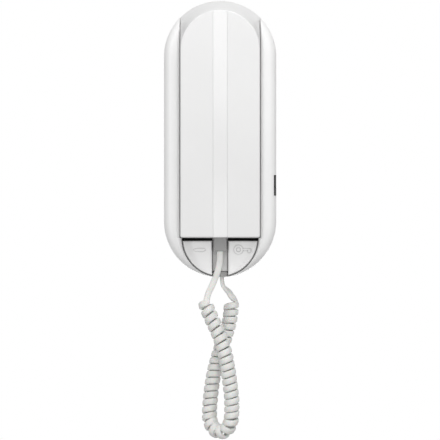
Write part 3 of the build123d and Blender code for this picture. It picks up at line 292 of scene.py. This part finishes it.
class Look:
    """A material with the nodes that most surfaces here share."""

    def __init__(self, name, roughness, metallic=0.0, specular=0.5):
        self.material = bpy.data.materials.new(name)
        self.material.use_nodes = True
        self.tree = self.material.node_tree
        self.shader = self.tree.nodes["Principled BSDF"]
        self.shader.inputs["Roughness"].default_value = roughness
        self.shader.inputs["Metallic"].default_value = metallic
        self.shader.inputs["Specular IOR Level"].default_value = specular
        self.place = self.node("ShaderNodeTexCoord").outputs["Object"]
        self.normal = None

    def node(self, kind, **values):
        made = self.tree.nodes.new(kind)
        for name, value in values.items():
            setattr(made, name, value)
        return made

    def join(self, out, into):
        self.tree.links.new(out, into)

    def along_axes(self):
        """The surface's place along X, Y and Z."""
        parts = self.node("ShaderNodeSeparateXYZ")
        self.join(self.place, parts.inputs["Vector"])
        return parts.outputs

    def stretched(self, scale):
        """The surface's place, stretched along each axis."""
        mapping = self.node("ShaderNodeMapping")
        mapping.inputs["Scale"].default_value = scale
        self.join(self.place, mapping.inputs["Vector"])
        return mapping.outputs["Vector"]

    def texture(self, kind, scale, place=None, **values):
        """A texture laid by the surface's place."""
        made = self.node(kind, **values)
        made.inputs["Scale"].default_value = scale
        self.join(place or self.place, made.inputs["Vector"])
        return made

    def noise(self, scale, detail, place=None):
        made = self.texture("ShaderNodeTexNoise", scale, place)
        made.inputs["Detail"].default_value = detail
        return made.outputs["Fac"]

    def ramp(self, fac, low, high, spread):
        """Goes from one colour to another while a factor crosses the spread."""
        made = self.node("ShaderNodeValToRGB")
        for element, position, colour in zip(made.color_ramp.elements, spread, (low, high)):
            element.position = position
            element.color = (*colour, 1.0)
        self.join(fac, made.inputs["Fac"])
        return made.outputs["Color"]

    def colour(self, fac, low, high, spread=TONE_SPREAD):
        """Base colour that drifts between two near tones."""
        self.join(self.ramp(fac, low, high, spread), self.shader.inputs["Base Color"])

    def laid_over(self, factor, over, blend):
        """Lays a second colour over the base colour by a factor."""
        mix = self.node("ShaderNodeMix", data_type="RGBA", blend_type=blend)
        share, under, upper = [socket for socket in mix.inputs if socket.enabled]
        result, = [socket for socket in mix.outputs if socket.enabled]
        base = self.shader.inputs["Base Color"]
        self.join(base.links[0].from_socket, under)
        for value, socket in ((factor, share), (over, upper)):
            if isinstance(value, bpy.types.NodeSocket):
                self.join(value, socket)
            else:
                socket.default_value = value
        self.join(result, base)

    def paint_corner_shade(self, reach, depth):
        """Paints shade into the base colour in inner corners, darker the more closed in they
        are.
        """
        corner = self.node("ShaderNodeAmbientOcclusion", samples=CORNER_SHADE_SAMPLES)
        corner.inputs["Distance"].default_value = reach
        shade = self.ramp(corner.outputs["AO"], (1 - depth,) * 3, WHITE, CORNER_SHADE_SPREAD)
        self.laid_over(1.0, shade, "MULTIPLY")

    def paint_box_shade(self, box, tone):
        """Paints shade as another tone inside a box, given as middle and half size along each
        axis.
        """
        inside = []
        for out, (middle, half) in zip(self.along_axes(), box):
            near = self.node("ShaderNodeMath", operation="COMPARE")
            near.inputs[1].default_value = middle * MM
            near.inputs[2].default_value = half * MM
            self.join(out, near.inputs[0])
            inside.append(near.outputs["Value"])
        across, deep, up = inside
        within = maths(self.tree, "MULTIPLY", maths(self.tree, "MULTIPLY", across, deep), up)
        self.laid_over(within, (tone, tone, tone, 1.0), "MIX")

    def rough(self, fac, low, high):
        """Roughness that drifts between two values."""
        made = self.node("ShaderNodeMapRange")
        made.inputs["To Min"].default_value = low
        made.inputs["To Max"].default_value = high
        self.join(fac, made.inputs["Value"])
        self.join(made.outputs["Result"], self.shader.inputs["Roughness"])

    def soften(self, radius):
        """Rounds the sharp edges a little."""
        made = self.node("ShaderNodeBevel", samples=EDGE_SAMPLES)
        made.inputs["Radius"].default_value = radius
        self.normal = made.outputs["Normal"]

    def bump(self, height, distance):
        """Raises the surface by a height from 0 to 1 times a distance."""
        made = self.node("ShaderNodeBump")
        made.inputs["Strength"].default_value = 1.0
        made.inputs["Distance"].default_value = distance
        self.join(height, made.inputs["Height"])
        if self.normal is not None:
            self.join(self.normal, made.inputs["Normal"])
        self.normal = made.outputs["Normal"]

    def done(self):
        if self.normal is not None:
            self.join(self.normal, self.shader.inputs["Normal"])
        return self.material


# Moulded plastic: its flow marks, smudges and grain, with painted shade in inner corners and in
# the slider's slot
FLOW_SCALE = 22
FLOW_DETAIL = 3
FLOW_DRIFT = 0.02
SMUDGE_SCALE = 90
SMUDGE_DETAIL = 4
GRAIN_DETAIL = 2
MOULDED_ROUGH = (0.85, 1.2)
CORNER_SHADE_REACH = 1.6 * MM
SLOT_SHADE_TONE = 0.03

# Metal whose drawn lines run along Y
LINE_STRETCH = (1.0, 0.08, 1.0)
LINE_DETAIL = 3
METAL_EDGE = 0.1 * MM
METAL_LOW_TONE = 0.86
METAL_ROUGH = (0.7, 1.3)
TARNISH_SCALE = 140
TARNISH_DETAIL = 3

STRIPE_TONES = (0.80, 0.815)
STRIPE_WARMTH = 0.004
STRIPE_BOW = -0.35
CORD_TONES = ((0.78, 0.78, 0.755), (0.86, 0.86, 0.835))
MASK_TONES = ((0.01, 0.14, 0.05), (0.02, 0.24, 0.09))

# Middle and half size of the slider's slot along X, Y and Z in millimetres, whose walls get
# painted shade
SLIDER_WELL = ((45.0, 11.0), (-30.3, 4.35), (-37.1, 8.25))


# Share of the warmth that green loses, where blue loses all of it
GREEN_LOSS = 0.4


def grey(value, warm=0.0):
    """A near-white or grey tone, yellower as warm grows."""
    return (value, value * (1 - warm * GREEN_LOSS), value * (1 - warm))


def moulded(name, tone, warm, roughness, grain_scale, grain_depth, edge=0.25, specular=0.5,
            corners=0.0, slot_shade_box=None):
    """Moulded plastic with a fine grain, faint flow marks and softened edges."""
    look = Look(name, roughness, specular=specular)
    look.soften(edge * MM)
    look.colour(look.noise(FLOW_SCALE, FLOW_DETAIL),
                grey(tone * (1 - FLOW_DRIFT), warm), grey(tone, warm))
    # Painted shade in inner corners, from an occlusion test
    if corners:
        look.paint_corner_shade(CORNER_SHADE_REACH, corners)
    # Painted shade: near-black walls inside the slider's slot of the white cover
    if slot_shade_box:
        look.paint_box_shade(slot_shade_box, SLOT_SHADE_TONE)
    look.rough(look.noise(SMUDGE_SCALE, SMUDGE_DETAIL),
               *(roughness * share for share in MOULDED_ROUGH))
    look.bump(look.noise(grain_scale, GRAIN_DETAIL), grain_depth * MM)
    return look.done()


def metal(name, tone, roughness, lines, depth):
    """Metal with fine drawn lines along the depth."""
    look = Look(name, roughness, metallic=1.0)
    look.soften(METAL_EDGE)
    drawn = look.noise(lines, LINE_DETAIL, look.stretched(LINE_STRETCH))
    look.colour(look.noise(TARNISH_SCALE, TARNISH_DETAIL),
                tuple(METAL_LOW_TONE * c for c in tone), tone)
    look.rough(drawn, *(roughness * share for share in METAL_ROUGH))
    look.bump(drawn, depth * MM)
    return look.done()


def cord_material():
    """Soft extruded jacket with a fine grain and a little grime."""
    look = Look("cord_plastic", roughness=0.42, specular=0.45)
    look.colour(look.noise(scale=160, detail=4), *CORD_TONES)
    look.rough(look.noise(scale=400, detail=3), low=0.34, high=0.5)
    look.bump(look.noise(scale=1800, detail=3), distance=0.03 * MM)
    look.shader.inputs["Subsurface Weight"].default_value = 0.12
    look.shader.inputs["Subsurface Scale"].default_value = 0.6 * MM
    return look.done()


def stripe_material():
    """Polished plastic whose face bows a little from top to bottom."""
    look = Look("stripe_plastic", roughness=0.14)
    look.colour(look.noise(FLOW_SCALE, FLOW_DETAIL),
                *(grey(tone, STRIPE_WARMTH) for tone in STRIPE_TONES))
    height = look.along_axes()["Z"]
    look.bump(maths(look.tree, "MULTIPLY", height, height), STRIPE_BOW)
    look.rough(look.noise(SMUDGE_SCALE, SMUDGE_DETAIL), low=0.12, high=0.17)
    return look.done()


def foam_material():
    """Dark open foam."""
    look = Look("foam", roughness=0.95, specular=0.2)
    cells = look.texture("ShaderNodeTexVoronoi", scale=1500).outputs["Distance"]
    look.colour(cells, grey(0.03), grey(0.13), spread=(0.1, 0.6))
    look.bump(cells, distance=0.2 * MM)
    return look.done()


def cloth_material():
    """Fine woven dust cloth."""
    look = Look("cloth", roughness=0.85, specular=0.25)
    threads = [
        look.texture("ShaderNodeTexWave", scale=420, bands_direction=way).outputs["Fac"]
        for way in ("X", "Z")
    ]
    weave = maths(look.tree, "MULTIPLY", *threads)
    look.colour(weave, grey(0.02), grey(0.1), spread=(0.1, 0.8))
    look.bump(weave, distance=0.1 * MM)
    return look.done()


def board_material():
    """Green solder mask over tracks."""
    look = Look("board_laminate", roughness=0.35)
    brick = look.texture("ShaderNodeTexBrick", scale=160, offset=0.5)
    brick.inputs["Mortar Size"].default_value = 0.06
    look.colour(brick.outputs["Fac"], *MASK_TONES, spread=(0.3, 0.7))
    look.bump(brick.outputs["Fac"], distance=0.03 * MM)
    return look.done()


# Tone, warmth, roughness, scale and depth in millimetres of the grain, and what
# else sets the plastic apart
MOULDED = {
    "body_plastic": (0.78, 0.004, 0.32, 2600, 0.006, {}),
    # Toned lighter than body_plastic, though both are one white plastic: painted light on the
    # wings and the top of the cover
    "cover_plastic": (0.92, 0.004, 0.34, 2600, 0.006, {"slot_shade_box": SLIDER_WELL}),
    # The keys get painted shade in their inner corners, round the feet of their raised symbols
    "key_plastic": (0.93, 0.006, 0.42, 2200, 0.012, {"edge": 0.1, "corners": 0.55}),
    "channel_plastic": (0.92, 0.01, 0.5, 1800, 0.02, {}),
    # The tongue's dark grey tone is painted shade from the handset that overhangs it
    "tongue_plastic": (0.36, 0.01, 0.45, 1800, 0.02, {"edge": 0.2}),
    "hidden_plastic": (0.55, 0.02, 0.5, 1500, 0.03, {}),
    "dark_plastic": (0.025, 0.0, 0.45, 1600, 0.02, {"edge": 0.15}),
    "relief_rubber": (0.5, 0.02, 0.6, 1200, 0.04, {}),
    "dark_rubber": (0.02, 0.0, 0.75, 1200, 0.05, {"specular": 0.3}),
    "wire_plastic": (0.4, 0.85, 0.45, 1600, 0.02, {"edge": 0.1}),
    "terminal_plastic": (0.16, 0.5, 0.45, 1500, 0.02, {"edge": 0.15}),
}

# Tone, roughness, scale and depth in millimetres of the drawn lines
METALS = {
    "screw_steel": ((0.66, 0.66, 0.67), 0.28, 700, 0.01),
    "capsule_steel": ((0.56, 0.56, 0.57), 0.36, 500, 0.015),
    "terminal_brass": ((0.76, 0.60, 0.30), 0.28, 700, 0.01),
}

LOOKS = {name: moulded(name, *row, **extra) for name, (*row, extra) in MOULDED.items()}
LOOKS |= {name: metal(name, *row) for name, row in METALS.items()}
LOOKS |= {
    "stripe_plastic": stripe_material(),
    "cord_plastic": cord_material(),
    "foam": foam_material(),
    "cloth": cloth_material(),
    "board_laminate": board_material(),
}


def dress(piece, look):
    piece.data.materials.clear()
    piece.data.materials.append(look)


def dress_nodes():
    """Each CAD node takes the look of its slot in the record."""
    for row in frame["record"]["subparts"]:
        piece = bpy.data.objects.get(row["node"])
        if piece is not None:
            for slot in piece.material_slots:
                slot.material = LOOKS[row["material_slot"]]


dress_nodes()
dress(cord, LOOKS["cord_plastic"])


# Light and surroundings

# Name, watts, width and height, place, and the point that it faces
LAMPS = [
    ("front_light", 12.0, (1.6, 1.6), (0.1, -2.4, 0.9), (0, -0.04, -0.05)),
    ("low_light", 12.0, (1.6, 1.2), (0.05, -2.4, -0.75), (0, -0.04, -0.05)),
    ("over_light", 5.0, (0.8, 0.5), (0.0, -0.15, 1.3), (0, -0.04, -0.05)),
    ("top_light", 1.3, (0.6, 0.3), (0.1, -0.42, 0.42), (0, -0.04, 0.0)),
    ("left_light", 2.8, (0.12, 0.9), (-0.9, -0.65, 0.0), (0, -0.03, -0.05)),
    ("right_light", 2.0, (0.12, 0.9), (0.9, -0.65, 0.0), (0, -0.03, -0.05)),
    ("back_light", 8.0, (1.2, 1.2), (0.2, 1.8, -0.7), (0, 0, -0.05)),
]
AMBIENT_STRENGTH = 0.2
BACKDROP_STRENGTH = 1.0


def area_light(name, power, size, place, target):
    data = bpy.data.lights.new(name, "AREA")
    data.shape = "RECTANGLE"
    data.size, data.size_y = size
    data.energy = power
    lamp = bpy.data.objects.new(name, data)
    lamp.location = place
    lamp.rotation_euler = (Vector(target) - Vector(place)).to_track_quat("-Z", "Y").to_euler()
    bpy.context.collection.objects.link(lamp)


def make_world():
    """White for the camera and in reflections, and a dim light for other rays."""
    world = bpy.data.worlds.new("surroundings")
    world.use_nodes = True
    tree = world.node_tree
    ambient = tree.nodes["Background"]
    backdrop = tree.nodes.new("ShaderNodeBackground")
    for background, strength in ((ambient, AMBIENT_STRENGTH), (backdrop, BACKDROP_STRENGTH)):
        background.inputs["Color"].default_value = (*WHITE, 1.0)
        background.inputs["Strength"].default_value = strength
    path = tree.nodes.new("ShaderNodeLightPath").outputs
    mirrored = maths(tree, "MAXIMUM", path["Is Glossy Ray"], path["Is Transmission Ray"])
    shown = maths(tree, "MAXIMUM", path["Is Camera Ray"], mirrored)
    mix = tree.nodes.new("ShaderNodeMixShader")
    tree.links.new(shown, mix.inputs["Fac"])
    tree.links.new(ambient.outputs["Background"], mix.inputs[1])
    tree.links.new(backdrop.outputs["Background"], mix.inputs[2])
    tree.links.new(mix.outputs["Shader"], tree.nodes["World Output"].inputs["Surface"])
    return world


for row in LAMPS:
    area_light(*row)
bpy.context.scene.world = make_world()

# Pale floor, as far down as such a handset hangs above one
FLOOR_HEIGHT = -1.4
FLOOR_HALF = 1.6
FLOOR_CORNERS = ((-1, -1), (1, -1), (1, 1), (-1, 1))
FLOOR_TONES = (0.80, 0.84)


def make_floor():
    mesh = bpy.data.meshes.new("floor")
    corners = [(x * FLOOR_HALF, y * FLOOR_HALF, FLOOR_HEIGHT) for x, y in FLOOR_CORNERS]
    mesh.from_pydata(corners, [], [tuple(range(len(corners)))])
    made = bpy.data.objects.new("floor", mesh)
    bpy.context.collection.objects.link(made)
    look = Look("floor", roughness=0.8)
    look.colour(look.noise(scale=3, detail=2), *(grey(tone) for tone in FLOOR_TONES))
    dress(made, look.done())
    return made


make_floor()
